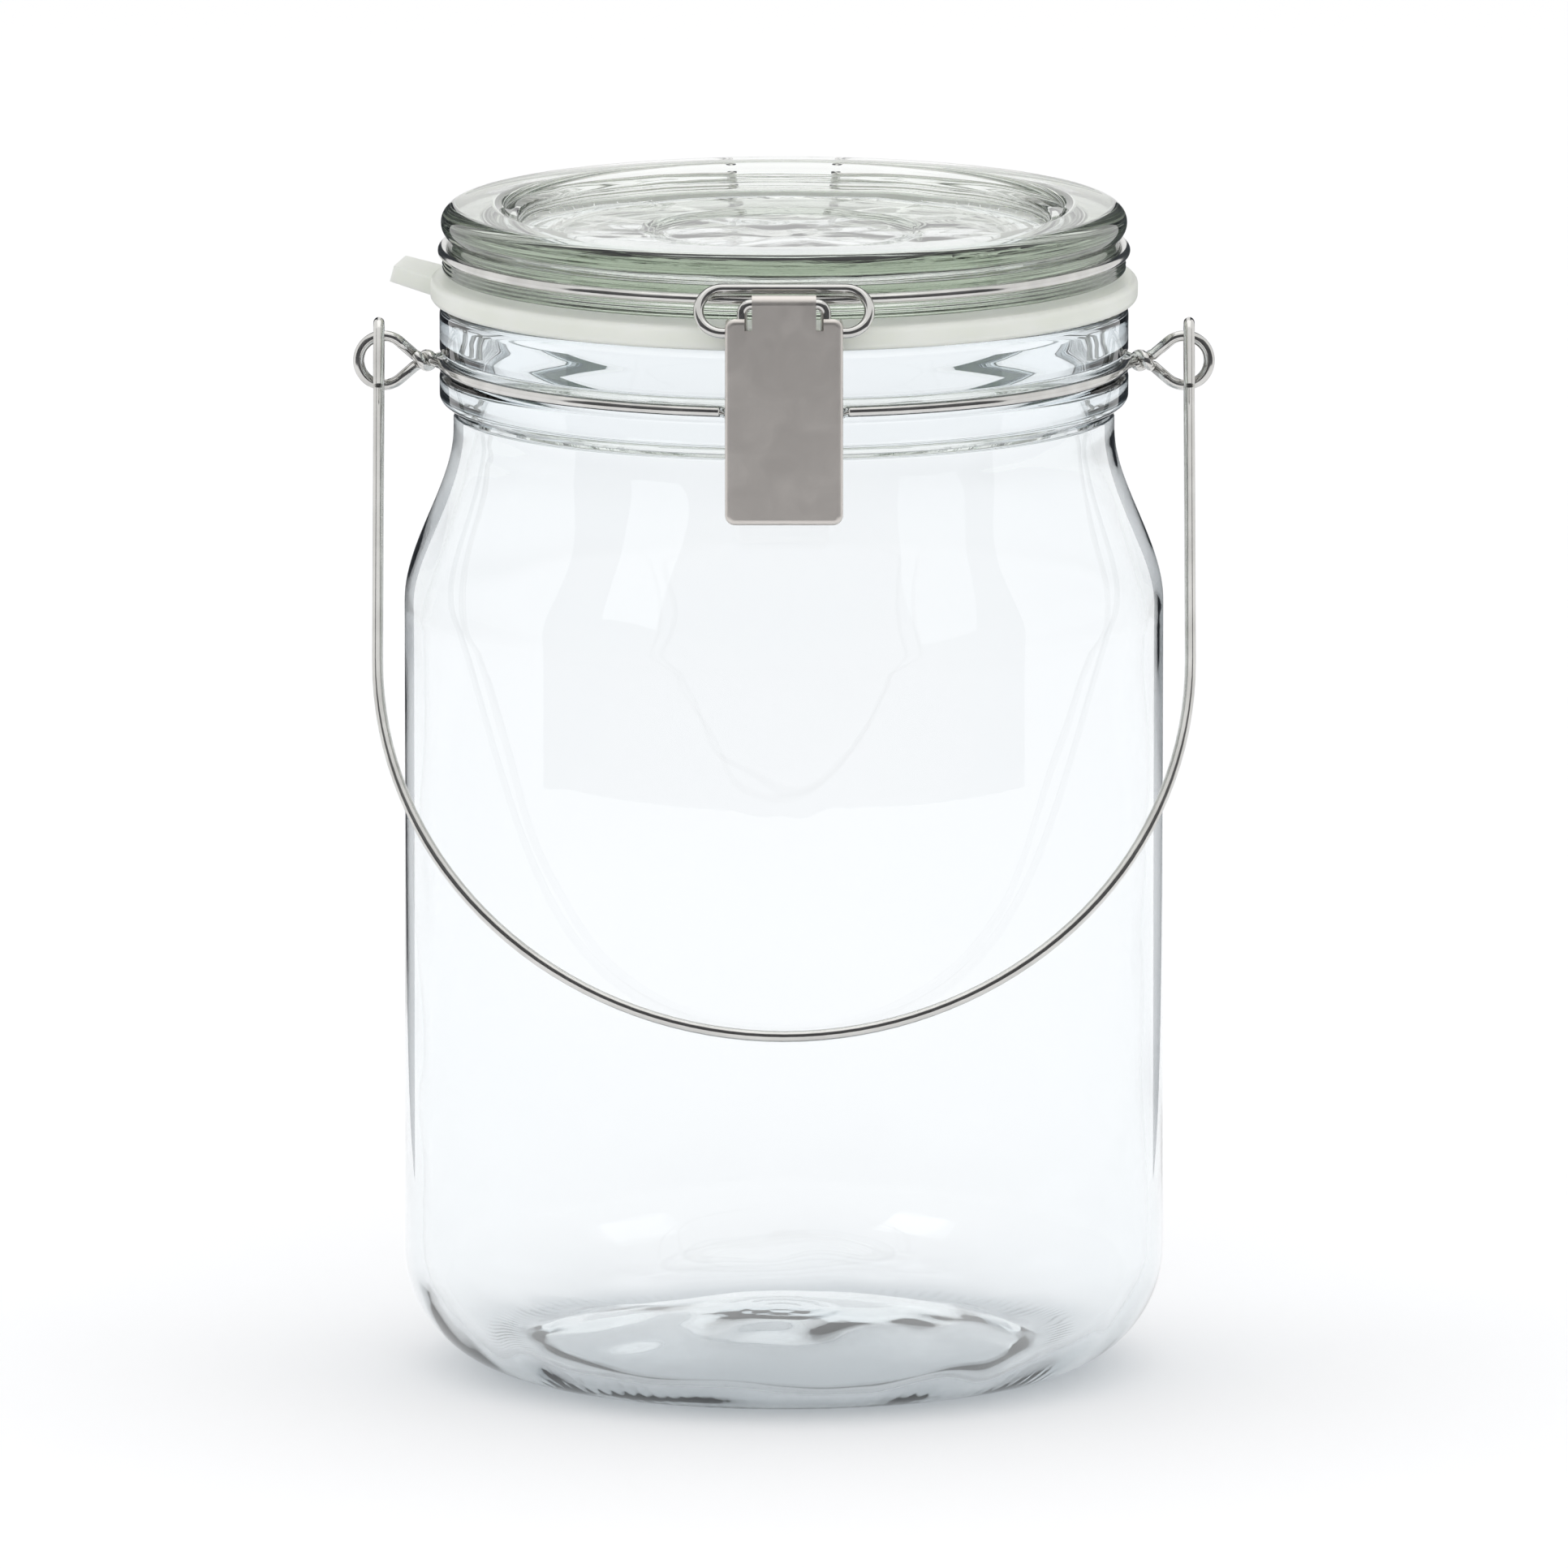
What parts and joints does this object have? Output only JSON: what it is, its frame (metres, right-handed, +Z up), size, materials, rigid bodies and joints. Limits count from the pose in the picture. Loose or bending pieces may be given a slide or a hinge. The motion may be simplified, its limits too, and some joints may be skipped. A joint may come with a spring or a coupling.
{
  "type": "lidded glass canister",
  "caption": "Round glass storage jar with a hinged glass lid, a silicone gasket, a wire toggle latch and a wire bail carrying handle.",
  "frame": {"origin": "centre of the ring that the jar stands on, on the jar's axis", "axes": "+Z up along the jar's axis; the latch faces -Y and the lid's hinge is at +Y; the handle's eyes are at -X and +X"},
  "size_m": [0.187, 0.1683, 0.255],
  "materials": {
    "jar_glass": "clear, very slightly blue, fire-polished",
    "lid_glass": "clear, slightly green, pressed",
    "bright_wire": "bright drawn stainless wire",
    "pressed_steel": "satin pressed stainless sheet",
    "gasket_silicone": "milky translucent silicone"
  },
  "bodies": {
    "jar": {"jar_body": "jar_glass", "neck_band": "bright_wire"},
    "handle": {"carry_handle": "bright_wire"},
    "lid": {"lid": "lid_glass", "lid_band": "bright_wire", "gasket": "gasket_silicone"},
    "link": {"pull_link": "bright_wire"},
    "lever": {"latch_lever": "pressed_steel"},
    "ring": {"latch_ring": "bright_wire"}
  },
  "joints": [
    {"name": "handle_swing", "type": "hinge", "parent": "jar", "child": "handle", "pos_m": [0, 0, 0.2261], "axis": [-1, 0, 0], "range_deg": [0, 296]},
    {"name": "lid_open", "type": "hinge", "parent": "jar", "child": "lid", "pos_m": [0, 0.0795, 0.22311], "axis": [-1, 0, 0], "range_deg": [0, 180]},
    {"name": "link_swing", "type": "hinge", "parent": "jar", "child": "link", "pos_m": [0, -0.0785, 0.2207], "axis": [-1, 0, 0], "range_deg": [-29, 0]},
    {"name": "lever_lift", "type": "hinge", "parent": "link", "child": "lever", "pos_m": [0, -0.08091, 0.2452], "axis": [-1, 0, 0], "range_deg": [0, 140]},
    {"name": "ring_tip", "type": "hinge", "parent": "lever", "child": "ring", "pos_m": [0, -0.08001, 0.2388], "axis": [-1, 0, 0], "range_deg": [-170, 0]}
  ],
  "couplings": [
    {"joint": "link_swing", "follows": "lever_lift", "ratio": -0.2},
    {"joint": "ring_tip", "follows": "lever_lift", "ratio": -1.15}
  ]
}
